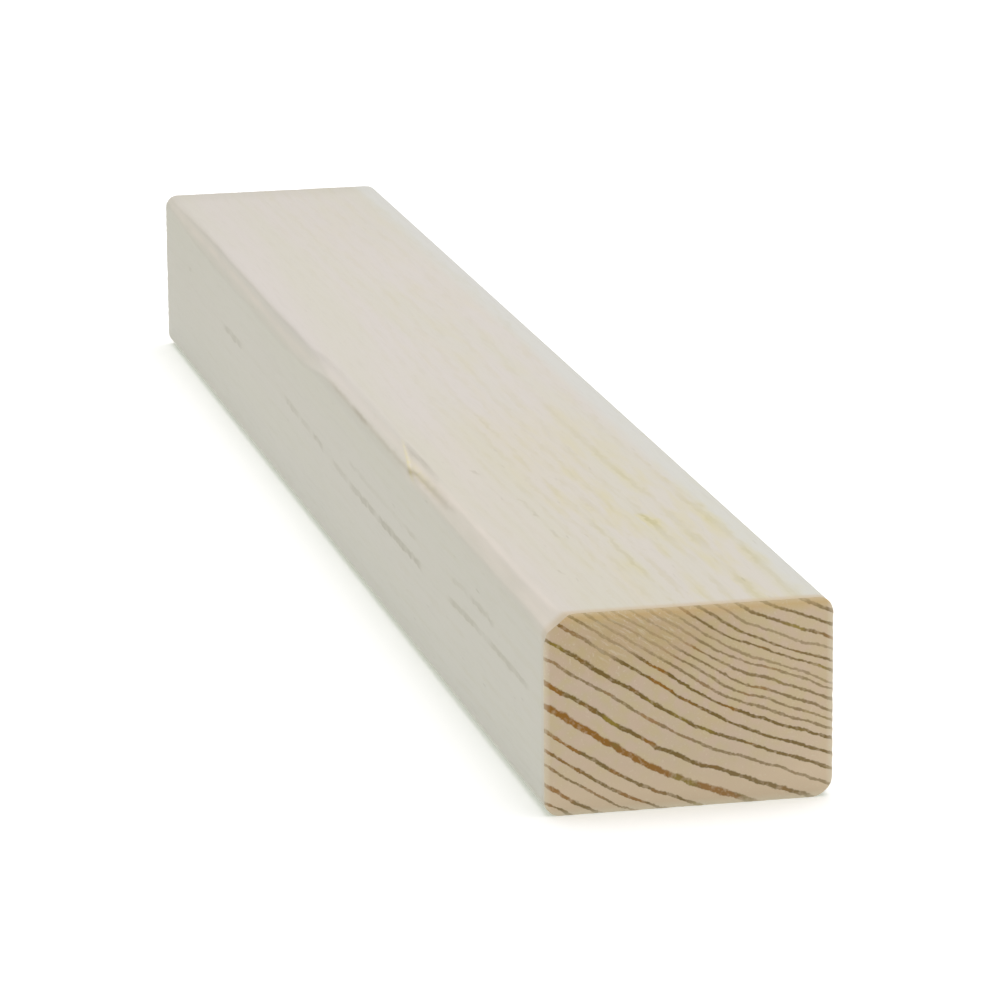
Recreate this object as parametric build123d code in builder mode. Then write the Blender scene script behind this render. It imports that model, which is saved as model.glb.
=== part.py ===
from build123d import *
import os

# A short length of planed softwood, sold by the piece: one board sawn from the log, planed on
# all four sides and cut square at both ends. It lies on a wide face.
# X runs across the width, Y along the grain and Z up. The origin is the middle of the
# underside. The near end, at -Y, is the one that shows its growth rings.
# All sizes are in millimetres.

# The finished section, after planing
WIDTH = 63.0
THICKNESS = 44.0
LENGTH = 480.0

# The planer eases all four long edges, the arrises, by the same small round
ARRIS_RADIUS = 3.4

# The top arris at -X has been knocked and rubbed in handling. It is rounder than the rest at
# the near end, and the wear runs out to the planed round at the far end.
WORN_ARRIS_RADIUS = 5.0

# How far the shape that takes the worn arris away stands clear of the wood
WEAR_OVERCUT = 2.0

# Both ends are sawn square to the length
near_end = Plane.XZ.offset(LENGTH / 2)
far_end = Plane.XZ.offset(-LENGTH / 2)

# The corner that is worn, seen along the grain
worn_x = -WIDTH / 2
worn_z = THICKNESS

with BuildPart() as plank:
    # The planed section, its worn corner still sharp, drawn out along the grain
    with BuildSketch(near_end) as section:
        Rectangle(WIDTH, THICKNESS, align=(Align.CENTER, Align.MIN))
        left, right = section.vertices().group_by(Axis.X)
        lower_left = left.sort_by(Axis.Y)[0]
        fillet([lower_left, *right], ARRIS_RADIUS)
    extrude(amount=-LENGTH)

    # The wear on the fourth arris: what lies outside its round at each end, joined in
    # straight lines and taken away
    for end, radius in ((near_end, WORN_ARRIS_RADIUS), (far_end, ARRIS_RADIUS)):
        side_tangent = (worn_x, worn_z - radius)
        top_tangent = (worn_x + radius, worn_z)
        with BuildSketch(end):
            with BuildLine():
                RadiusArc(side_tangent, top_tangent, radius)
                Polyline(
                    top_tangent,
                    (worn_x + radius, worn_z + WEAR_OVERCUT),
                    (worn_x - WEAR_OVERCUT, worn_z + WEAR_OVERCUT),
                    (worn_x - WEAR_OVERCUT, worn_z - radius),
                    side_tangent,
                )
            make_face()
    loft(ruled=True, mode=Mode.SUBTRACT)

plank.part.label = "plank"

os.makedirs("parts", exist_ok=True)
export_step(plank.part, "parts/plank.step")
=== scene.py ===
import bisect
import math

import bmesh
import bpy
from mathutils import Matrix, Vector, noise


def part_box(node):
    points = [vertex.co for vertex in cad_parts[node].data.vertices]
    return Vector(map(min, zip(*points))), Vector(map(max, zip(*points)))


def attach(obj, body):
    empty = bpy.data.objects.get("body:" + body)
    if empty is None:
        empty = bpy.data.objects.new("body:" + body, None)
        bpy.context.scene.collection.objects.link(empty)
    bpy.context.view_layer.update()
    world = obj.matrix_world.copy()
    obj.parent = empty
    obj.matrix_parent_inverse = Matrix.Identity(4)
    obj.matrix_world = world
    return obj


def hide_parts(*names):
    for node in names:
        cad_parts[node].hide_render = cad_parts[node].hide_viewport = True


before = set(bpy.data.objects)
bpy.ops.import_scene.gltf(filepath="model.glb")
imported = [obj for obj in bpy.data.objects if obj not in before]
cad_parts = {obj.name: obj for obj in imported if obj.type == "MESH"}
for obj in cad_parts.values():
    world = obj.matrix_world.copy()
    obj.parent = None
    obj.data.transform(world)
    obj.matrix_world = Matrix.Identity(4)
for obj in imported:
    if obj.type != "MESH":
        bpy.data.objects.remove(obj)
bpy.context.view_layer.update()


# The plank
# One short length of planed softwood, pale whitewood such as spruce, sawn from a large log,
# planed on four sides and cut square at both ends. The planer rounds the four long edges, and
# the top one on the left has been knocked and rubbed since.

MM = 0.001

low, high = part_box("plank")
size = high - low
left, right = low.x, high.x
near, far = low.y, high.y
top = high.z


def from_near(distances):
    """Places along the length, from their distances from the near end in millimetres."""
    return [near + distance * MM for distance in distances]


def read_off(value, places, values):
    """The value at a place, on the straight lines between the listed ones."""
    i = min(max(bisect.bisect_right(places, value) - 1, 0), len(places) - 2)
    return values[i] + (value - places[i]) / (places[i + 1] - places[i]) * (values[i + 1] - values[i])


def smooth_step(value, start, end):
    """How far a value is from start to end, from 0 to 1, easing in and out."""
    share = min(max((value - start) / (end - start), 0.0), 1.0)
    return share * share * (3 - 2 * share)


# Growth rings, as they show on the near end. The pith lay far off above the top right, so each
# ring runs down from the left, steeply at first, bends, and runs on at a lower slope.
STEEP = 0.66
SHALLOW = 0.38
# How wide the bend is, in rings
RING_BEND = 0.6
# From the bark side inwards: the height above the underside, in millimetres, at which each
# ring's late wood meets the left edge and the right edge, or would beyond them, the share of
# the ring that is late wood, and how dark that is.
RINGS = (
    (-7.0, -32.0, 0.18, 0.86),
    (-2.0, -27.0, 0.18, 0.86),
    (2.9, -21.5, 0.19, 0.97),
    (7.1, -19.3, 0.22, 0.97),
    (11.5, -16.5, 0.18, 0.86),
    (14.6, -14.2, 0.23, 0.97),
    (18.8, -11.0, 0.18, 0.97),
    (24.4, -6.4, 0.30, 1.00),
    (29.6, -1.8, 0.21, 1.00),
    (35.0, 2.6, 0.17, 0.76),
    (39.0, 6.0, 0.23, 1.00),
    (44.0, 9.1, 0.21, 1.00),
    (47.2, 12.6, 0.26, 1.00),
    (49.5, 14.7, 0.29, 0.76),
    (51.8, 16.8, 0.27, 0.76),
    (54.0, 18.9, 0.27, 0.81),
    (56.3, 21.4, 0.26, 0.81),
    (58.5, 23.9, 0.29, 0.70),
    (60.8, 25.1, 0.29, 0.59),
    (63.0, 27.7, 0.25, 0.92),
    (65.8, 29.5, 0.26, 0.92),
    (68.5, 32.1, 0.23, 0.55),
    (71.4, 34.7, 0.24, 0.92),
    (75.2, 37.6, 0.22, 0.92),
    (80.5, 40.3, 0.19, 0.92),
    (85.0, 45.0, 0.19, 0.86),
    (89.0, 49.0, 0.19, 0.86),
)
RING_NUMBERS = list(range(len(RINGS)))
# The ring whose late wood is the boldest
BOLDEST_RING = 7
lefts, rights, late_shares, darknesses = zip(*RINGS)
left_heights = [height * MM for height in lefts]
right_heights = [height * MM for height in rights]

# The grain isn't quite straight: how much lower the rings lie, by the distance from the near
# end, both in millimetres
GRAIN_DRIFT = (
    (0, 0.0), (60, 0.0), (110, 1.0), (150, 1.6), (205, 1.7),
    (250, 0.4), (300, -0.9), (370, -1.0), (480, -0.5),
)
distances, drops = zip(*GRAIN_DRIFT)
drift_places = from_near(distances)
drifts = [drop * MM for drop in drops]


def ring_at(place):
    """The number of rings from the bark side at a place in the wood."""
    height = place.z + read_off(place.y, drift_places, drifts)
    steep = read_off(height + STEEP * (place.x - left), left_heights, RING_NUMBERS)
    shallow = read_off(height + SHALLOW * (place.x - right), right_heights, RING_NUMBERS)
    overlap = max(RING_BEND - abs(steep - shallow), 0.0) / RING_BEND
    return min(steep, shallow) - overlap ** 3 * RING_BEND / 6


# The mesh starts as a block cut into small cells, which crowd towards the arrises
CELLS_ACROSS = 110
CELLS_UP = 76
ROWS = 190
ARRIS_CROWDING = 0.16
# Where the rows of cells lie along the length: the share of the rows that come before each
# distance from the near end, in millimetres. They crowd at both ends and round the scar.
ROW_SHARES = (0.0, 0.05, 0.17, 0.55, 0.77, 0.95, 1.0)
ROW_DISTANCES = (0, 8, 90, 172, 272, 470, 480)

block = bmesh.new()
bmesh.ops.create_cube(block, size=1.0)
for axis, cells in enumerate((CELLS_ACROSS, ROWS, CELLS_UP)):
    others = [other for other in range(3) if other != axis]
    along_axis = [
        edge
        for edge in block.edges
        if all(abs(edge.verts[0].co[other] - edge.verts[1].co[other]) < 1e-6 for other in others)
    ]
    bmesh.ops.subdivide_edges(block, edges=along_axis, cuts=cells - 1, use_grid_fill=True)


def crowd(share):
    """Moves a share from -0.5 to 0.5 towards its ends, which stay."""
    return share * (1 + ARRIS_CROWDING) - ARRIS_CROWDING * 4 * share ** 3


row_places = from_near(ROW_DISTANCES)
for vert in block.verts:
    vert.co = Vector((
        size.x * crowd(vert.co.x),
        read_off(vert.co.y + 0.5, ROW_SHARES, row_places),
        size.z * (0.5 + crowd(vert.co.z)),
    ))
bmesh.ops.recalc_face_normals(block, faces=block.faces)
block.normal_update()

# The texture map, laid out while the block's corners are still sharp: the four long sides in
# one strip, and the two ends side by side above it. The two materials split there.
MAP_PIXELS = 1024
LENGTH_PIXELS = 1008
GIRTH_PIXELS = 640
END_PIXELS_PER_MM = 7.9
MAP_GAP = 8
SIDES, ENDS = 0, 1

girth = 2 * (size.x + size.z)
bake_map = block.loops.layers.uv.new("OFBake")
for face in block.faces:
    face.smooth = True
    outwards = face.normal
    face.material_index = ENDS if abs(outwards.y) > 0.5 else SIDES
    for loop in face.loops:
        x, y, z = loop.vert.co
        if outwards.y < -0.5:
            u = MAP_GAP + (x - left) / MM * END_PIXELS_PER_MM
            v = GIRTH_PIXELS + 2 * MAP_GAP + z / MM * END_PIXELS_PER_MM
        elif outwards.y > 0.5:
            u = 2 * MAP_GAP + (size.x + right - x) / MM * END_PIXELS_PER_MM
            v = GIRTH_PIXELS + 2 * MAP_GAP + z / MM * END_PIXELS_PER_MM
        else:
            if outwards.z < -0.5:
                round_about = x - left
            elif outwards.x > 0.5:
                round_about = size.x + z
            elif outwards.z > 0.5:
                round_about = size.x + size.z + right - x
            else:
                round_about = girth - z
            u = MAP_GAP + (y - near) / size.y * LENGTH_PIXELS
            v = MAP_GAP + round_about / girth * GIRTH_PIXELS
        loop[bake_map].uv = (u / MAP_PIXELS, v / MAP_PIXELS)
for edge in block.edges:
    if len({face.material_index for face in edge.link_faces}) == 2:
        edge.smooth = False

# The arrises
ARRIS_RADIUS = 3.4 * MM
WORN_RADIUS = 5.0 * MM
# The near end's corner at the worn one has been knocked rounder still, and so, by less, has
# the corner across from it, at the lower right: by how much at the very end, and over what
# length that dies away
KNOCK_RADIUS = 2.4 * MM
SMALL_KNOCK_RADIUS = 1.3 * MM
KNOCK_REACH = 3.0 * MM
# The flat that is rubbed on the worn one: by the distance from the near end in millimetres,
# which way the flat faces, in degrees up from level, and how deep it cuts in millimetres
FLATS = (
    (0, 52, 0.55), (4, 50, 0.45), (9, 46, 0.38), (20, 42, 0.36), (85, 42, 0.38),
    (104, 42, 0.40), (140, 60, 0.50), (236, 66, 0.55), (243, 64, 0.55), (268, 32, 0.80),
    (300, 22, 0.95), (345, 23, 0.85), (400, 22, 0.90), (440, 24, 0.60), (462, 32, 0.20),
    (480, 40, 0.05),
)
# The flat sways by up to this angle, and its depth varies by up to this share, in waves
FLAT_SWAY = math.radians(5)
FLAT_SWAY_LENGTH = 26 * MM
FLAT_UNEVENNESS = 0.35
FLAT_UNEVENNESS_LENGTH = 11 * MM
# The cosine of the angle from its middle past which the flat is taken to be out of reach
FLAT_GRAZES = 0.1
# Bands along the worn arris: by the distance from the near end in millimetres, how far up
# round the arris in degrees, how wide in millimetres, and how strong from 0 to 1. Fibres have
# lifted along the flat's border and above the splinter that has come away, and a brown crease
# at each is darkened with dirt and painted shade. Between them the wood is rubbed pale with a
# painted highlight, and the flat is painted paler too, as painted light.
BORDER_CREASE = (
    (0, 52, 0.5, 0.0), (93, 54, 0.5, 0.0), (105, 47, 0.9, 0.33), (120, 44, 1.0, 0.38),
    (134, 39, 0.9, 0.4), (139, 35, 0.7, 0.8), (143, 34, 0.5, 0.3), (165, 34, 0.5, 0.24),
    (188, 35, 0.5, 0.28), (193, 35, 0.5, 0.55), (203, 35, 0.5, 0.5), (209, 36, 0.5, 0.2),
    (216, 36, 0.5, 0.32), (229, 36, 0.5, 0.32), (240, 38, 0.5, 0.08), (268, 64, 0.5, 0.0),
    (296, 66, 0.5, 0.1), (316, 64, 0.5, 0.04), (396, 64, 0.5, 0.03), (402, 64, 0.5, 0.09),
    (432, 64, 0.5, 0.09), (440, 64, 0.5, 0.03), (480, 60, 0.5, 0.0),
)
SPLINTER_CREASE = (
    (0, 84, 0.5, 0.0), (120, 84, 0.5, 0.0), (128, 85, 0.45, 0.12), (138, 88, 0.45, 0.22),
    (148, 82, 0.4, 0.22), (156, 78, 0.4, 0.12), (160, 84, 0.4, 0.0), (480, 84, 0.5, 0.0),
)
PALE_BAND = (
    (0, 70, 1.0, 0.6), (88, 70, 1.0, 0.6), (100, 66, 1.2, 1.0), (120, 63, 1.3, 1.0),
    (138, 62, 1.4, 1.0), (150, 60, 1.2, 0.4), (240, 60, 1.2, 0.3), (270, 70, 1.0, 0.0),
    (480, 70, 1.0, 0.0),
)
PALE_FLAT = (
    (0, 30, 2.6, 0.9), (6, 34, 2.4, 0.85), (14, 40, 2.1, 0.75), (28, 42, 1.9, 0.62),
    (85, 42, 1.9, 0.62), (104, 34, 1.5, 0.6), (125, 27, 1.3, 0.6), (140, 22, 1.2, 0.5),
    (150, 20, 1.2, 0.2), (165, 20, 1.2, 0.0), (255, 30, 1.4, 0.0), (270, 26, 1.6, 0.5),
    (290, 22, 1.8, 0.7), (440, 24, 1.8, 0.7), (462, 32, 1.6, 0.5), (480, 40, 1.4, 0.4),
)
BAND_WOBBLE = 0.35 * MM
WOBBLE_LENGTH = 4 * MM
CREASE_DEPTH = 0.2 * MM
# The scar that the splinter left starts from nothing, deepens along the grain, and ends in a
# step that slants up across the arris to the top face
SCAR_START = near + 100 * MM
SCAR_END_LOW = near + 139 * MM
SCAR_END_HIGH = near + 163 * MM
SCAR_LOW_ANGLE = 34
SCAR_HIGH_ANGLE = 88
SCAR_DEPTH = 0.35 * MM
SCAR_STEP = 2.5 * MM
# The shares of the way up the scar over which its foot rises and its head runs out
SCAR_FOOT = (0.0, 0.1)
SCAR_HEAD = (0.9, 1.0)
# The wood is still fresh at the step and, by less, in the lower part of the scar, in patches.
# Shares of the same kind say where that starts and runs out.
FRESH_REACH = 2.2 * MM
FRESH_FOOT = (-0.35, -0.1)
FRESH_HEAD = (0.6, 1.15)
FRESH_IN_SCAR = 0.6
SCAR_FRESH_HEAD = (0.3, 0.75)
FRESH_PATCH = 1.6 * MM
FRESH_MEAN = 0.65
FRESH_VARIES = 0.7
FRESH_LEAST = 0.1

distances, leans, depths = zip(*FLATS)
flat_places = from_near(distances)
flat_leans = [math.radians(lean) for lean in leans]
flat_depths = [depth * MM for depth in depths]

# The crease layer says where dirt and painted shade lie, the pale one where the wood is rubbed pale
# and painted light lies
crease_layer = block.verts.layers.float.new("crease")
pale_and_lit_layer = block.verts.layers.float.new("rubbed_pale_and_lit")
fresh_layer = block.verts.layers.float.new("fresh_wood")
bands = []
for layer, table in (
    (crease_layer, BORDER_CREASE),
    (crease_layer, SPLINTER_CREASE),
    (pale_and_lit_layer, PALE_BAND),
    (pale_and_lit_layer, PALE_FLAT),
):
    distances, *measures = zip(*table)
    bands.append((layer, from_near(distances), measures))


def noise_along(y, length, lane):
    """Smooth noise from -1 to 1 along the plank, in waves of a length. Each lane has its own."""
    return noise.noise(Vector((0, y / length, lane)))


def rub_flat(out, up, y, radius):
    """Cuts the flat at a place on the worn arris, given from the centre of its round. Gives the
    place back, and how far round the arris it lies."""
    lean = read_off(y, flat_places, flat_leans)
    lean += FLAT_SWAY * noise_along(y, FLAT_SWAY_LENGTH, 3)
    depth = read_off(y, flat_places, flat_depths)
    depth *= 1 + FLAT_UNEVENNESS * noise_along(y, FLAT_UNEVENNESS_LENGTH, 9)
    if out > 0 and up > 0:
        turn = math.atan2(up, out)
        to_flat = (radius - depth) / max(math.cos(turn - lean), FLAT_GRAZES)
        kept = min(to_flat / radius, 1.0)
        return out * kept, up * kept, radius * turn
    beyond = max(out * math.cos(lean) + up * math.sin(lean) - (radius - depth), 0.0)
    if up <= 0:
        return out - beyond / math.cos(lean), up, up
    return out, up - beyond / math.sin(lean), radius * math.pi / 2 - out


def scar_at(y, angle):
    """How deep the scar is, and how fresh the wood, both from 0 to 1, at an angle up round the
    worn arris."""
    share_up = (angle - SCAR_LOW_ANGLE) / (SCAR_HIGH_ANGLE - SCAR_LOW_ANGLE)
    end = SCAR_END_LOW + (SCAR_END_HIGH - SCAR_END_LOW) * share_up
    inside = smooth_step(share_up, *SCAR_FOOT) * (1 - smooth_step(share_up, *SCAR_HEAD))
    before_step = 1 - smooth_step(y, end - SCAR_STEP, end)
    scar = inside * smooth_step(y, SCAR_START, SCAR_END_LOW) * before_step
    at_step = math.exp(-((y - end) / FRESH_REACH) ** 2)
    at_step *= smooth_step(share_up, *FRESH_FOOT) * (1 - smooth_step(share_up, *FRESH_HEAD))
    in_scar = scar * FRESH_IN_SCAR * (1 - smooth_step(share_up, *SCAR_FRESH_HEAD))
    return scar, max(at_step, in_scar)


for vert in block.verts:
    x, y, z = vert.co
    side = -1 if x < 0 else 1
    rise = -1 if z < size.z / 2 else 1
    worn = side < 0 < rise
    radius = ARRIS_RADIUS
    if worn:
        radius += (WORN_RADIUS - ARRIS_RADIUS) * (far - y) / size.y
        radius += KNOCK_RADIUS * math.exp((near - y) / KNOCK_REACH)
    elif rise < 0 < side:
        radius += SMALL_KNOCK_RADIUS * math.exp((near - y) / KNOCK_REACH)
    # The place as seen from the centre of the nearest arris's round. What lies in the block's
    # sharp corner is pulled in onto the round.
    centre_x = side * (size.x / 2 - radius)
    centre_z = size.z / 2 + rise * (size.z / 2 - radius)
    out = side * (x - centre_x)
    up = rise * (z - centre_z)
    if out > 0 and up > 0:
        pull = max(out, up) / math.hypot(out, up)
        out, up = out * pull, up * pull
    if worn and out > -radius and up > -radius:
        out, up, climb = rub_flat(out, up, y, radius)
        wobble = BAND_WOBBLE * noise_along(y, WOBBLE_LENGTH, 5)
        for layer, places, measures in bands:
            angle, width, strength = [read_off(y, places, each) for each in measures]
            offset = (climb - radius * math.radians(angle) - wobble) / (width * MM)
            vert[layer] += math.exp(-offset * offset) * strength
        scar, fresh = scar_at(y, math.degrees(climb / radius))
        patchy = FRESH_MEAN + FRESH_VARIES * noise.noise(Vector((climb, y, 0)) / FRESH_PATCH)
        vert[fresh_layer] = fresh * min(max(patchy, FRESH_LEAST), 1.0)
        cut = vert[crease_layer] * CREASE_DEPTH + scar * SCAR_DEPTH
        reach = math.hypot(max(out, 0.0), max(up, 0.0)) or 1.0
        out -= cut * max(out, 0.0) / reach
        up -= cut * max(up, 0.0) / reach
    vert.co.x = centre_x + side * out
    vert.co.z = centre_z + rise * up

# Late wood stands a little proud of the early wood between, more on the sawn ends than on the
# planed sides, and the saw leaves the ends' own edges furred and slightly broken
END_RELIEF = 0.10 * MM
SIDE_RELIEF = 0.03 * MM
# How flat the bottom of the hollow between two rings' late wood is
HOLLOW_POWER = 6
SAW_ROUGHNESS = 0.06 * MM
SAW_GRIT = 1.1 * MM
# How far the ends' edges are broken, how long each break is, and how much of it reaches into
# the sides
EDGE_BREAK = 0.22 * MM
BREAK_LENGTH = 1.7 * MM
BREAK_INTO_SIDES = 0.7

block.normal_update()
moves = []
for vert in block.verts:
    phase = ring_at(vert.co) % 1.0
    early = 1 - abs(2 * phase - 1) ** HOLLOW_POWER
    kinds = {face.material_index for face in vert.link_faces}
    if kinds == {SIDES}:
        moves.append((vert, vert.normal * -SIDE_RELIEF * early))
        continue
    inwards = Vector((0, -math.copysign(1, vert.co.y), 0))
    sunk = END_RELIEF * early + SAW_ROUGHNESS * abs(noise.noise(vert.co / SAW_GRIT))
    move = inwards * sunk
    if kinds == {SIDES, ENDS}:
        broken = abs(noise.noise(vert.co / BREAK_LENGTH)) * EDGE_BREAK
        towards_middle = Vector((-vert.co.x, 0, size.z / 2 - vert.co.z)).normalized()
        move += inwards * broken + towards_middle * broken * BREAK_INTO_SIDES
    moves.append((vert, move))
for vert, move in moves:
    vert.co += move

mesh = bpy.data.meshes.new("plank")
block.to_mesh(mesh)
block.free()
plank = bpy.data.objects.new("softwood_plank", mesh)
bpy.context.scene.collection.objects.link(plank)


def colour(code):
    """An sRGB hex colour as the linear values that a shader takes."""
    channels = [int(code[i:i + 2], 16) / 255 for i in (0, 2, 4)]
    linear = [c / 12.92 if c <= 0.04045 else ((c + 0.055) / 1.055) ** 2.4 for c in channels]
    return (*linear, 1.0)


def add_node(tree, kind, inputs=None, **settings):
    """Adds a shader node with its settings, and gives each input its value or its link."""
    node = tree.nodes.new("ShaderNode" + kind)
    for name, value in settings.items():
        setattr(node, name, value)
    for place, value in (inputs or {}).items():
        if isinstance(value, bpy.types.Node):
            value = next(socket for socket in value.outputs if socket.enabled)
        if isinstance(value, bpy.types.NodeSocket):
            tree.links.new(value, node.inputs[place])
        else:
            node.inputs[place].default_value = value
    return node


def add_curve(tree, value, places, values, hold=False):
    """Reads a value off the straight lines between the listed ones, as read_off does. Past the
    ends it goes on at the same slope, or holds the last value."""
    span = places[-1] - places[0]
    height = max(values) - min(values)
    share = add_node(tree, "MapRange", {0: value, 1: places[0], 2: places[-1]}, clamp=hold)
    node = add_node(tree, "FloatCurve", {1: share})
    curve = node.mapping.curves[0]
    while len(curve.points) < len(places):
        curve.points.new(0.5, 0.5)
    for point, place, each in zip(curve.points, places, values):
        point.location = ((place - places[0]) / span, (each - min(values)) / height)
        point.handle_type = "VECTOR"
    node.mapping.extend = "EXTRAPOLATED"
    node.mapping.update()
    return add_node(tree, "MapRange", {0: node, 3: min(values), 4: max(values)}, clamp=False)


def coat(tree, ground, *layers):
    """Lays colours over a ground, one over the other, each by its share from 0 to 1. A colour
    is an sRGB hex code or comes from a node."""
    shade = colour(ground)
    for share, over in layers:
        over = colour(over) if isinstance(over, str) else over
        shade = add_node(tree, "Mix", {0: share, 6: shade, 7: over}, data_type="RGBA")
    return shade


def new_material(name):
    """An empty material and its node tree."""
    material = bpy.data.materials.new(name)
    material.use_nodes = True
    tree = material.node_tree
    tree.nodes.clear()
    return material, tree


# A Map Range node takes its value at input 0, and turns what lies from input 1 to input 2 into
# what lies from input 3, which is 0 where none is given, to input 4, which is 1.
# Nearly all of a noise texture's values lie between these two
NOISE_LOW = 0.3
NOISE_HIGH = 0.7
# The rings waver in waves some millimetres wide, and their edges are frayed by the fibres: how
# wide the waves are, how far they reach each way, and their detail. Along the grain both are
# drawn out, so that their width is this share of their length.
WAVERS = ((6 * MM, 0.3 * MM, 2.0), (0.55 * MM, 0.11 * MM, 1.0))
WAVER_SHARE = 0.06


def growth_rings(tree, coords, ripple=0.0):
    """The rings in the wood, as ring_at gives them, lifted by the ripple. Gives the number of
    the nearest ring, the distance past its late wood in rings, and that late wood's share."""
    across, along, above = add_node(tree, "SeparateXYZ", {0: coords}).outputs
    drift = add_curve(tree, along, drift_places, drifts)
    drawn_out = add_node(tree, "Mapping", {0: coords, 3: (1.0, WAVER_SHARE, 1.0)})
    lift = add_node(tree, "Math", {0: drift, 1: ripple})
    for width, reach, detail in WAVERS:
        waves = add_node(tree, "TexNoise", {0: drawn_out, "Scale": 1 / width, "Detail": detail})
        waver = add_node(
            tree,
            "MapRange",
            {0: waves, 1: NOISE_LOW, 2: NOISE_HIGH, 3: -reach, 4: reach},
            clamp=False,
        )
        lift = add_node(tree, "Math", {0: lift, 1: waver})
    height = add_node(tree, "Math", {0: above, 1: lift})
    numbers = []
    for slope, edge, heights in ((STEEP, left, left_heights), (SHALLOW, right, right_heights)):
        from_edge = add_node(tree, "Math", {0: across, 1: edge}, operation="SUBTRACT")
        at_edge = add_node(tree, "Math", {0: from_edge, 1: slope, 2: height}, operation="MULTIPLY_ADD")
        numbers.append(add_curve(tree, at_edge, heights, RING_NUMBERS))
    steep, shallow = numbers
    number = add_node(tree, "Math", {0: steep, 1: shallow, 2: RING_BEND}, operation="SMOOTH_MIN")
    nearest = add_node(tree, "Math", {0: number}, operation="ROUND")
    past = add_node(tree, "Math", {0: number, 1: nearest}, operation="SUBTRACT")
    late_share = add_curve(tree, nearest, RING_NUMBERS, late_shares)
    return nearest, past, late_share


# Late wood starts sharply on the bark side and fades off inwards. From where to where, in its
# own widths from its middle:
LATE_STARTS = (-0.6, -0.38)
LATE_FADES = (0.3, 0.7)


def late_wood(tree, past, late_share, blur):
    """Where the late wood is, from 0 to 1. blur widens it and its borders."""
    width = add_node(tree, "Math", {0: late_share, 1: blur}, operation="MULTIPLY")
    place = add_node(tree, "Math", {0: past, 1: width}, operation="DIVIDE")
    started, faded = [
        add_node(tree, "MapRange", {0: place, 1: start, 2: end}, interpolation_type="SMOOTHSTEP")
        for start, end in (LATE_STARTS, LATE_FADES)
    ]
    return add_node(tree, "Math", {0: started, 1: faded}, operation="SUBTRACT")


# Planed spruce: a fine smooth cut along the grain. The early wood is creamy white with faint
# pink and yellow clouds, and the late wood shows as faint straw streaks, which are stronger
# towards the near end. It is matt, with a low sheen.
CREAM = "CDCABD"
PINK_CREAM = "CFCAC2"
FAR_DULL = "BBB8A8"
FOOT_PAINTED_LIGHT = "D6D5CE"
STRAW = "CEC79E"
COOL_HIGHLIGHT = "CDCFC8"
FIBRE_GREY = "BCB9AB"
LATE_STREAK = "BBB386"
TORN_GREY = "867F61"
TORN_OLIVE = "97903F"
RUBBED_PALE_AND_LIT = "DBD3C6"
FRESH_YELLOW = "D8D0A4"
CREASE_BROWN = "7A6C40"
CUT_TAN = "C4AF8B"
WOOD_IOR = 1.45
PLANED_ROUGHNESS = 0.62
FIBRE_RELIEF = 0.05 * MM
# Its patterns: how wide each is in millimetres, what share of its length that is, its detail
# and its roughness. The fibres are drawn coarser than they are, so that they show.
PLANED_PATTERNS = {
    "ripples": (4.0, 0.7, 2.0, 0.5),
    "clouds": (9.0, 0.05, 2.0, 0.5),
    "straw": (3.5, 0.14, 3.0, 0.5),
    "breaks": (2.2, 0.14, 2.0, 0.5),
    "fibres": (0.6, 0.05, 2.0, 0.6),
    "flecks": (0.9, 0.12, 0.0, 0.5),
}

planed, tree = new_material("planed_spruce")
coords = add_node(tree, "TexCoord").outputs["Object"]
across, along, above = add_node(tree, "SeparateXYZ", {0: coords}).outputs
patterns = {}
for name, (width, share, detail, roughness) in PLANED_PATTERNS.items():
    drawn_out = add_node(tree, "Mapping", {0: coords, 3: (1.0, share, 1.0)})
    patterns[name] = add_node(
        tree,
        "TexNoise",
        {0: drawn_out, "Scale": 1 / (width * MM), "Detail": detail, "Roughness": roughness},
    )

# Along the grain the rings ripple by more than they waver across the ends
RIPPLE = 0.4 * MM
ripple = add_node(
    tree,
    "MapRange",
    {0: patterns["ripples"], 1: NOISE_LOW, 2: NOISE_HIGH, 3: -RIPPLE, 4: RIPPLE},
    clamp=False,
)
nearest, past, late_share = growth_rings(tree, coords, ripple)

# How clearly the figure, the pattern of the grain, shows: less and less away from the near
# end, but in full along the whole of the right side and the underside
FIGURE_PLACES = [*from_near((0, 90, 200)), far]
FIGURE_SHOWS = [1.0, 1.0, 0.35, 0.2]
# A side's own look starts this far in from its plane and is in full this far in. The top's
# starts where its arrises do.
SIDE_STARTS = 1.2 * MM
SIDE_FULL = 0.3 * MM
TOP_FULL = 1.2 * MM
towards_near = add_curve(tree, along, FIGURE_PLACES, FIGURE_SHOWS)
right_side = add_node(tree, "MapRange", {0: across, 1: right - SIDE_STARTS, 2: right - SIDE_FULL})
underside = add_node(tree, "MapRange", {0: above, 1: SIDE_STARTS, 2: SIDE_FULL})
clearer = add_node(tree, "Math", {0: right_side, 1: underside}, operation="MAXIMUM")
figure = add_node(tree, "Math", {0: towards_near, 1: clearer}, operation="MAXIMUM")
on_top = add_node(tree, "MapRange", {0: above, 1: top - ARRIS_RADIUS, 2: top - TOP_FULL})

# Pink clouds, drawn out along the grain, and fainter on the left side
LEFT_SIDE_PINK = 0.35
cloudiness = add_node(tree, "MapRange", {0: patterns["clouds"], 1: 0.34, 2: 0.58})
off_left = add_node(
    tree, "MapRange", {0: across, 1: left + 0.5 * MM, 2: left + 3 * MM, 3: LEFT_SIDE_PINK}
)
pink = add_node(tree, "Math", {0: cloudiness, 1: off_left}, operation="MULTIPLY")

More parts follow.
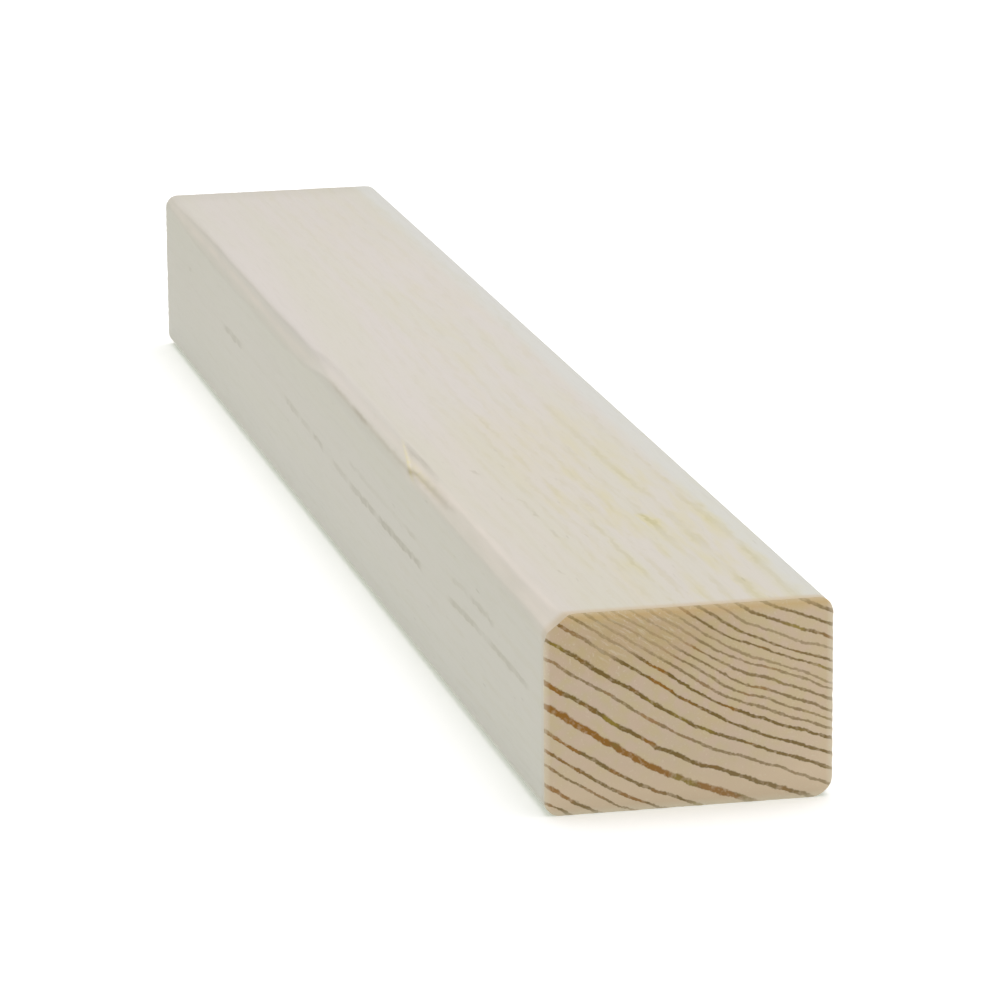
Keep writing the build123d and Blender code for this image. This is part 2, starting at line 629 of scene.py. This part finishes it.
# The wood is duller towards the far end, and most in the last millimetres of the top
FAR_DULLNESS = 0.13
LAST_DULLNESS = 0.3
towards_far = add_node(
    tree, "MapRange", {0: along, 1: far - 120 * MM, 2: far - 30 * MM, 4: FAR_DULLNESS}
)
last = add_node(tree, "MapRange", {0: along, 1: far - 14 * MM, 2: far - 2 * MM, 4: LAST_DULLNESS})
dull = add_node(tree, "Math", {0: last, 1: on_top, 2: towards_far}, operation="MULTIPLY_ADD")

# The foot of the sides is painted paler, painted light that lifts the shade near the floor
FOOT_HEIGHTS = [0.0, 7 * MM, 12 * MM, 20 * MM, 28 * MM]
FOOT_SHARES = [0.4, 0.36, 0.22, 0.08, 0.0]
painted_foot_light = add_curve(tree, above, FOOT_HEIGHTS, FOOT_SHARES, hold=True)

# Straw yellow, in patches in the rings towards the heart, and evenly and faintly in all but
# the first nine rings from the bark side
PATCH_STRAW = 0.64
EVEN_STRAW = 0.16
straw_patches = add_node(tree, "MapRange", {0: patterns["straw"], 1: 0.45, 2: 0.75})
heartward = add_node(tree, "MapRange", {0: nearest, 1: 15.0, 2: 21.0, 4: PATCH_STRAW})
evenly = add_node(tree, "MapRange", {0: nearest, 1: 9.0, 2: 13.0, 4: EVEN_STRAW})
straw_there = add_node(
    tree, "Math", {0: straw_patches, 1: heartward, 2: evenly}, operation="MULTIPLY_ADD"
)

# One broad faint cloud of it lies on the top, a third of the way along
WARM_MIDDLE = Vector((-2 * MM, near + 145 * MM, top))
WARM_REACH = Vector((20 * MM, 42 * MM, 8 * MM))
WARM_SHARE = 0.14
warm_scale = Vector([1 / reach for reach in WARM_REACH])
placed = add_node(tree, "Mapping", {0: coords, 1: -WARM_MIDDLE * warm_scale, 3: warm_scale})
from_warm = add_node(tree, "VectorMath", {0: placed}, operation="LENGTH").outputs["Value"]
warm_cloud = add_node(
    tree,
    "MapRange",
    {0: from_warm, 1: 0.3, 2: 1.3, 3: WARM_SHARE, 4: 0.0},
    interpolation_type="SMOOTHSTEP",
)
straw = add_node(
    tree, "Math", {0: straw_there, 1: figure, 2: warm_cloud}, operation="MULTIPLY_ADD"
)

# A cooler, paler strip runs along the right of the top: a painted highlight along the right arris
COOL_STARTS = 23 * MM
COOL_FULL = 26 * MM
COOL_SHARE = 0.7
by_right = add_node(tree, "MapRange", {0: across, 1: COOL_STARTS, 2: COOL_FULL, 4: COOL_SHARE})
cool_highlight = add_node(tree, "Math", {0: by_right, 1: on_top}, operation="MULTIPLY")

# Single fibres, greyer than the rest
FIBRE_SHARE = 0.22
fibre = add_node(tree, "MapRange", {0: patterns["fibres"], 1: 0.5, 2: 0.8, 4: FIBRE_SHARE})

# The late wood's streaks, broken up along their length. They are strongest towards the heart
# and on the sides that show the figure in full, and fade less with distance than the figure.
STREAK_BLUR = 1.5
STREAK_POWER = 0.6
BARK_STREAKS = 0.08
HEART_STREAKS = 0.24
CLEARER_STREAKS = 0.16
streak = late_wood(tree, past, late_share, STREAK_BLUR)
unbroken = add_node(tree, "MapRange", {0: patterns["breaks"], 1: 0.4, 2: 0.62, 3: 0.1, 4: 1.0})
streak_figure = add_node(tree, "Math", {0: figure, 1: STREAK_POWER}, operation="POWER")
ring_contrast = add_node(
    tree, "MapRange", {0: nearest, 1: 14.0, 2: 19.0, 3: BARK_STREAKS, 4: HEART_STREAKS}
)
contrast = add_node(
    tree, "Math", {0: clearer, 1: CLEARER_STREAKS, 2: ring_contrast}, operation="MULTIPLY_ADD"
)
for factor in (unbroken, streak_figure, contrast):
    streak = add_node(tree, "Math", {0: streak, 1: factor}, operation="MULTIPLY")

# Where the planer has torn the late wood: the ring's number, and how dark it is along it from
# 0 to 1, by the distance from the near end in millimetres
TORN = {
    7: (
        (12, 0.0), (19, 0.6), (48, 0.65), (54, 0.25), (62, 0.3), (67, 0.7), (88, 0.65), (95, 0.0),
        (122, 0.0), (128, 0.9), (168, 0.9), (174, 0.2), (180, 0.75), (203, 0.75), (209, 0.1),
        (214, 0.45), (227, 0.45), (231, 0.0), (241, 0.1), (245, 0.7), (252, 0.8), (256, 0.0),
        (262, 0.35), (270, 0.35), (272, 0.1), (277, 0.45), (290, 0.5), (295, 0.03), (354, 0.03),
        (360, 0.55), (380, 0.6), (386, 0.03), (470, 0.0),
    ),
    8: (
        (46, 0.0), (51, 0.55), (68, 0.6), (72, 0.1), (78, 0.35), (88, 0.3), (91, 0.0), (127, 0.0),
        (131, 0.35), (140, 0.35), (144, 0.05), (195, 0.25), (206, 0.3), (210, 0.0), (436, 0.0),
        (438, 0.4), (440, 0.4), (442, 0.0),
    ),
    14: ((31, 0.0), (32, 0.5), (35, 0.5), (36, 0.0)),
    15: ((123, 0.0), (125, 0.6), (127, 0.6), (129, 0.0)),
    16: (
        (62, 0.0), (64, 0.3), (69, 0.3), (71, 0.0), (81, 0.0), (83, 0.45), (87, 0.45), (89, 0.1),
        (94, 0.35), (98, 0.3), (100, 0.0),
    ),
    19: (
        (20, 0.0), (30, 0.35), (55, 0.35), (61, 0.2), (75, 0.25), (80, 0.0), (155, 0.0),
        (162, 0.2), (178, 0.2), (185, 0.0),
    ),
    22: ((55, 0.0), (64, 0.3), (70, 0.8), (77, 0.8), (80, 0.0)),
    23: (
        (3, 0.3), (20, 0.25), (28, 0.0), (48, 0.0), (54, 0.25), (62, 0.2), (70, 0.0), (92, 0.0),
        (100, 0.3), (120, 0.3), (130, 0.15), (133, 0.35), (140, 0.3), (145, 0.1), (187, 0.1),
        (195, 0.0),
    ),
    24: (
        (3, 0.2), (15, 0.15), (28, 0.2), (35, 0.42), (44, 0.4), (50, 0.1), (62, 0.12),
        (71, 0.3), (85, 0.3), (90, 0.0),
    ),
}
# Ring numbers that differ by less than this are the same ring's
SAME_RING = 0.1
torn_there = 0.0
for ring, stretches in TORN.items():
    distances, strengths = zip(*stretches)
    here = add_node(tree, "Math", {0: nearest, 1: float(ring), 2: SAME_RING}, operation="COMPARE")
    stretch = add_curve(tree, along, from_near(distances), strengths, hold=True)
    torn_there = add_node(
        tree, "Math", {0: here, 1: stretch, 2: torn_there}, operation="MULTIPLY_ADD"
    )
ragged = add_node(tree, "MapRange", {0: patterns["ripples"], 1: 0.35, 2: 0.55, 3: 0.2, 4: 0.4})
torn = late_wood(tree, past, late_share, 1.0)
for factor in (torn_there, ragged):
    torn = add_node(tree, "Math", {0: torn, 1: factor}, operation="MULTIPLY")

# Towards the heart a mark is more olive, and the wood round it is yellower
HALO_BLUR = 2.6
heart_side = add_node(tree, "MapRange", {0: nearest, 1: 16.0, 2: 21.0})
torn_shade = coat(tree, TORN_GREY, (heart_side, TORN_OLIVE))
halo = late_wood(tree, past, late_share, HALO_BLUR)
for factor in (heart_side, torn_there):
    halo = add_node(tree, "Math", {0: halo, 1: factor}, operation="MULTIPLY")

# Short dark flecks, the ends of fibres that the planer has lifted
FLECK_SHARE = 0.2
flecks = add_node(tree, "MapRange", {0: patterns["flecks"], 1: 0.78, 2: 0.88, 4: FLECK_SHARE})
fleck = add_node(tree, "Math", {0: flecks, 1: figure}, operation="MULTIPLY")

# The worn arris: wood rubbed pale with a painted highlight, and painted light on the flat,
# though unevenly, a splinter's yellow fresh wood, and dirt and painted shade in the creases
CREASE_SHARE = 0.7
rubbed = add_node(tree, "Attribute", attribute_name="rubbed_pale_and_lit").outputs["Fac"]
unevenly = add_node(tree, "MapRange", {0: patterns["straw"], 1: 0.35, 2: 0.62, 3: 1.3, 4: 0.7})
pale = add_node(tree, "Math", {0: rubbed, 1: unevenly}, operation="MULTIPLY")
fresh = add_node(tree, "Attribute", attribute_name="fresh_wood").outputs["Fac"]
creases = add_node(tree, "Attribute", attribute_name="crease").outputs["Fac"]
crease = add_node(tree, "Math", {0: creases, 1: CREASE_SHARE}, operation="MULTIPLY")

# The saw has torn the last fibres before the near end, most on the top, and they are tan
CUT_REACH = 4 * MM
CUT_SHARE = 0.65
at_cut = add_node(
    tree,
    "MapRange",
    {0: along, 1: near + CUT_REACH, 2: near + 0.2 * MM, 4: CUT_SHARE},
    interpolation_type="SMOOTHERSTEP",
)
high_up = add_node(tree, "MapRange", {0: above, 1: top - 6 * MM, 2: top - MM, 3: 0.3})
cut_tan = add_node(tree, "Math", {0: at_cut, 1: high_up}, operation="MULTIPLY")

shade = coat(
    tree,
    CREAM,
    (pink, PINK_CREAM),
    (dull, FAR_DULL),
    (painted_foot_light, FOOT_PAINTED_LIGHT),
    (straw, STRAW),
    (cool_highlight, COOL_HIGHLIGHT),
    (fibre, FIBRE_GREY),
    (streak, LATE_STREAK),
    (halo, STRAW),
    (torn, torn_shade),
    (fleck, TORN_GREY),
    (pale, RUBBED_PALE_AND_LIT),
    (fresh, FRESH_YELLOW),
    (crease, CREASE_BROWN),
    (cut_tan, CUT_TAN),
)
bump = add_node(
    tree, "Bump", {"Height": patterns["fibres"], "Strength": 0.15, "Distance": FIBRE_RELIEF}
)
skin = add_node(
    tree,
    "BsdfPrincipled",
    {0: shade, "Roughness": PLANED_ROUGHNESS, "IOR": WOOD_IOR, "Normal": bump},
)
add_node(tree, "OutputMaterial", {0: skin})

# Sawn end grain of the same spruce: the open ends of the fibres drink the light, so the early
# wood is tan, and the late wood is thin hard lines from olive brown to orange brown. It is
# rough and quite matt.
END_TAN = "C9B392"
END_PINK_GREY = "C7B49A"
END_GREEN_TAN = "C6B68A"
END_PINK = "CCB3A2"
END_PAINTED_LIGHT = "D6C1A6"
END_OCHRE = "B89C6C"
WARM_RIM = "CEAE76"
SAWN_FUZZ = "DDD2BC"
LATE_OLIVE = "755E2C"
LATE_ORANGE = "8E611C"
LATE_YELLOW = "8B7629"
SAWN_ROUGHNESS = 0.85
PORE_RELIEF = 0.1 * MM
# Its patterns, by their width in millimetres and their detail. Those in the second list change
# from ring to ring.
SAWN_PATTERNS = {"clouds": (8.0, 2.0), "mottle": (2.6, 1.0), "pores": (0.5, 1.0)}
RING_PATTERNS = {"hues": (7.0, 1.0), "gaps": (1.1, 2.0), "swellings": (1.7, 1.0)}

sawn, tree = new_material("sawn_spruce_end_grain")
coords = add_node(tree, "TexCoord").outputs["Object"]
across, along, above = add_node(tree, "SeparateXYZ", {0: coords}).outputs
nearest, past, late_share = growth_rings(tree, coords)
patterns = {}
for name, (width, detail) in SAWN_PATTERNS.items():
    patterns[name] = add_node(
        tree, "TexNoise", {0: coords, "Scale": 1 / (width * MM), "Detail": detail}
    )
for name, (width, detail) in RING_PATTERNS.items():
    patterns[name] = add_node(
        tree,
        "TexNoise",
        {0: coords, 1: nearest, "Scale": 1 / (width * MM), "Detail": detail},
        noise_dimensions="4D",
    )

# The early wood's ground, from pinkish grey at the lower left to tan at the upper right, with
# a mottle of greener and pinker spots
inwards = add_node(tree, "MapRange", {0: nearest, 1: 8.0, 2: 15.0, 3: 0.3, 4: -0.1})
greyness = add_node(tree, "Math", {0: patterns["clouds"], 1: inwards})
grey = add_node(tree, "MapRange", {0: greyness, 1: 0.4, 2: 0.8})
green = add_node(tree, "MapRange", {0: patterns["mottle"], 1: 0.5, 2: 0.66, 4: 0.5})
pink = add_node(tree, "MapRange", {0: patterns["mottle"], 1: 0.5, 2: 0.36, 4: 0.5})

# It is painted paler towards the foot, and a little towards the right edge: painted light that lifts
# the shade there
PAINTED_LIGHT_HEIGHTS = [0.0, 4 * MM, 10 * MM, 18 * MM, 26 * MM]
PAINTED_LIGHT_SHARES = [1.0, 0.95, 0.35, 0.1, 0.0]
PAINTED_LIGHT_AT_RIGHT = 0.4
painted_light_low = add_curve(tree, above, PAINTED_LIGHT_HEIGHTS, PAINTED_LIGHT_SHARES, hold=True)
to_right = add_node(tree, "MapRange", {0: across, 1: 8 * MM, 2: right, 4: PAINTED_LIGHT_AT_RIGHT})
pale = add_node(tree, "Math", {0: painted_light_low, 1: to_right}, use_clamp=True)

# A patch below the top edge where the saw has rubbed the fibres over and blurred the rings. It
# is ochre, and somewhat beyond its border too.
RUBBED_MIDDLE = Vector((-12 * MM, 0, 39 * MM))
RUBBED_ACROSS = 14 * MM
RUBBED_UP = 6.5 * MM
OCHRE_SHARE = 0.5
rubbed_scale = Vector((1 / RUBBED_ACROSS, 0, 1 / RUBBED_UP))
placed = add_node(tree, "Mapping", {0: coords, 1: -RUBBED_MIDDLE * rubbed_scale, 3: rubbed_scale})
from_middle = add_node(tree, "VectorMath", {0: placed}, operation="LENGTH").outputs["Value"]
ragged = add_node(tree, "MapRange", {0: patterns["clouds"], 3: -0.5, 4: 0.5}, clamp=False)
ragged_reach = add_node(tree, "Math", {0: from_middle, 1: ragged})
rubbed = add_node(
    tree,
    "MapRange",
    {0: ragged_reach, 1: 0.55, 2: 1.15, 3: 1.0, 4: 0.0},
    interpolation_type="SMOOTHSTEP",
)
ochre = add_node(tree, "MapRange", {0: ragged_reach, 1: 1.9, 2: 0.4, 4: OCHRE_SHARE})

# There pale fibres lie over, along the rings: how long they are, and how many to a ring
LAID_LENGTH = 12 * MM
LAID_PER_RING = 4.0
LAID_SHARE = 0.35
number = add_node(tree, "Math", {0: nearest, 1: past})
along_ring = add_node(tree, "Math", {0: across, 1: 1 / LAID_LENGTH}, operation="MULTIPLY")
by_ring = add_node(tree, "CombineXYZ", {0: number, 1: along_ring})
laid_over = add_node(tree, "TexNoise", {0: by_ring, "Scale": LAID_PER_RING, "Detail": 1.0})
laid_there = add_node(tree, "MapRange", {0: laid_over, 1: 0.55, 2: 0.7, 4: LAID_SHARE})
laid = add_node(tree, "Math", {0: laid_there, 1: rubbed}, operation="MULTIPLY")

# The top edge has taken a warm tone
RIM_SHARE = 0.75
rim = add_node(
    tree,
    "MapRange",
    {0: above, 1: top - 3.2 * MM, 2: top - 0.2 * MM, 4: RIM_SHARE},
    interpolation_type="SMOOTHSTEP",
)

# Pale fuzz of torn fibre ends, in specks and along the edges, least along the top one
EDGE_FUZZ = 0.75
TOP_EDGE = 0.5
SPECK_SHARE = 0.4
off_middle = add_node(tree, "Math", {0: across}, operation="ABSOLUTE")
side_edge = add_node(tree, "MapRange", {0: off_middle, 1: right - 1.5 * MM, 2: right - 0.1 * MM})
low_edge = add_node(tree, "MapRange", {0: above, 1: 1.5 * MM, 2: 0.1 * MM})
top_edge = add_node(
    tree, "MapRange", {0: above, 1: top - 1.1 * MM, 2: top - 0.1 * MM, 4: TOP_EDGE}
)
low_or_side = add_node(tree, "Math", {0: side_edge, 1: low_edge}, operation="MAXIMUM")
edge = add_node(tree, "Math", {0: low_or_side, 1: top_edge}, operation="MAXIMUM")
specks = add_node(tree, "MapRange", {0: patterns["pores"], 1: 0.62, 2: 0.8, 4: SPECK_SHARE})
speckled = add_node(tree, "Math", {0: specks, 1: laid})
fuzz = add_node(
    tree, "Math", {0: edge, 1: EDGE_FUZZ, 2: speckled}, operation="MULTIPLY_ADD", use_clamp=True
)

# The late wood's colour changes from ring to ring and along each. It is more orange at the
# left, most of all in the boldest ring, and less at the right.
ORANGE_PLACES = [left, left + 9 * MM, 0.0, right]
ORANGE_SHIFTS = [0.16, 0.0, 0.0, -0.12]
BOLDEST_SHIFT = 0.22
by_left = add_curve(tree, across, ORANGE_PLACES, ORANGE_SHIFTS)
boldest = add_node(
    tree, "Math", {0: nearest, 1: float(BOLDEST_RING), 2: SAME_RING}, operation="COMPARE"
)
more_orange = add_node(
    tree, "Math", {0: boldest, 1: BOLDEST_SHIFT, 2: by_left}, operation="MULTIPLY_ADD"
)
orange_hues = add_node(tree, "Math", {0: patterns["hues"], 1: more_orange})
orange = add_node(tree, "MapRange", {0: orange_hues, 1: 0.53, 2: 0.66})
yellow = add_node(tree, "MapRange", {0: patterns["hues"], 1: 0.4, 2: 0.3})
late_shade = coat(tree, LATE_OLIVE, (orange, LATE_ORANGE), (yellow, LATE_YELLOW))

# Some stretches of it are thicker than others
THINNEST = 0.75
THICKEST = 1.25
swell = add_node(
    tree,
    "MapRange",
    {0: patterns["swellings"], 1: NOISE_LOW, 2: NOISE_HIGH, 3: THINNEST, 4: THICKEST},
)
line = late_wood(tree, past, late_share, swell)

# It is as dark as its ring says, and fades in gaps, where the end is rubbed, at the rim and
# the edges, and a little towards the right and the foot, where the painted light lies: by
# what, from where to where, and how much of it is left
FADES = (
    (patterns["gaps"], 0.5, 0.32, 0.6),
    (rubbed, 0.0, 1.0, 0.42),
    (rim, 0.0, RIM_SHARE, 0.55),
    (edge, 0.0, 1.0, 0.5),
    (across, 0.0, right, 0.95),
    (painted_light_low, 0.0, 1.0, 0.88),
)
darkness = add_curve(tree, nearest, RING_NUMBERS, darknesses)
line = add_node(tree, "Math", {0: line, 1: darkness}, operation="MULTIPLY")
for measure, start, end, remains in FADES:
    fade = add_node(tree, "MapRange", {0: measure, 1: start, 2: end, 3: 1.0, 4: remains})
    line = add_node(tree, "Math", {0: line, 1: fade}, operation="MULTIPLY")

shade = coat(
    tree,
    END_TAN,
    (grey, END_PINK_GREY),
    (green, END_GREEN_TAN),
    (pink, END_PINK),
    (pale, END_PAINTED_LIGHT),
    (ochre, END_OCHRE),
    (rim, WARM_RIM),
    (fuzz, SAWN_FUZZ),
    (line, late_shade),
)
bump = add_node(
    tree, "Bump", {"Height": patterns["pores"], "Strength": 0.3, "Distance": PORE_RELIEF}
)
skin = add_node(
    tree,
    "BsdfPrincipled",
    {0: shade, "Roughness": SAWN_ROUGHNESS, "IOR": WOOD_IOR, "Normal": bump},
)
add_node(tree, "OutputMaterial", {0: skin})

mesh.materials.append(planed)
mesh.materials.append(sawn)

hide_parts("plank")
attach(plank, "root")


# The floor
# A plain white studio floor, matt, which the plank lies on. It is lit from below too, as a
# light table is, so that it shows almost no shadow.

FLOOR_SIZE = 12.0
FLOOR_WHITE = "FAFAFA"
FLOOR_ROUGHNESS = 0.9
GLOW_COLOUR = (0.93, 1.0, 0.88)
GLOW_STRENGTH = 0.205

floor_shape = bmesh.new()
bmesh.ops.create_grid(floor_shape, x_segments=1, y_segments=1, size=FLOOR_SIZE / 2)
floor_mesh = bpy.data.meshes.new("floor")
floor_shape.to_mesh(floor_mesh)
floor_shape.free()
floor = bpy.data.objects.new("floor", floor_mesh)
bpy.context.scene.collection.objects.link(floor)
matt_white, tree = new_material("matt_white_paint")
paint = add_node(
    tree,
    "BsdfPrincipled",
    {
        0: colour(FLOOR_WHITE),
        "Roughness": FLOOR_ROUGHNESS,
        "Emission Color": (*GLOW_COLOUR, 1.0),
        "Emission Strength": GLOW_STRENGTH,
    },
)
add_node(tree, "OutputMaterial", {0: paint})
floor_mesh.materials.append(matt_white)


# The light
# Soft white light from all round, as in a light tent, with one broad lamp overhead.

TENT_COLOUR = (0.96, 1.0, 0.925)
TENT_STRENGTH = 0.507
LAMP_COLOUR = (0.97, 0.90, 1.0)
LAMP_POWER = 42.5
LAMP_SIZE = 2.4
LAMP_PLACE = (0.3, 0.2, 2.2)

world = bpy.data.worlds.new("light_tent")
world.use_nodes = True
background = world.node_tree.nodes["Background"]
background.inputs[0].default_value = (*TENT_COLOUR, 1.0)
background.inputs[1].default_value = TENT_STRENGTH
bpy.context.scene.world = world

lamp_data = bpy.data.lights.new("overhead", "AREA")
lamp_data.shape = "DISK"
lamp_data.size = LAMP_SIZE
lamp_data.energy = LAMP_POWER
lamp_data.color = LAMP_COLOUR
lamp = bpy.data.objects.new("overhead", lamp_data)
lamp.location = LAMP_PLACE
bpy.context.scene.collection.objects.link(lamp)


# The camera
# A long lens from in front, a little to the left and above, as the photograph was taken.

FOCAL_LENGTH_MM = 196.85
SENSOR_MM = 36.0
CAMERA_PLACE = Vector((-282.3, -1311.5, 344.3)) * MM
YAW = math.radians(12.715)
PITCH = math.radians(14.049)
ROLL = math.radians(0.450)

camera_data = bpy.data.cameras.new("camera")
camera_data.lens = FOCAL_LENGTH_MM
camera_data.sensor_width = SENSOR_MM
camera = bpy.data.objects.new("camera", camera_data)
camera.matrix_world = (
    Matrix.Translation(CAMERA_PLACE)
    @ Matrix.Rotation(-YAW, 4, "Z")
    @ Matrix.Rotation(math.pi / 2 - PITCH, 4, "X")
    @ Matrix.Rotation(-ROLL, 4, "Z")
)
bpy.context.scene.collection.objects.link(camera)
bpy.context.scene.camera = camera
bpy.context.scene.view_settings.view_transform = "Standard"
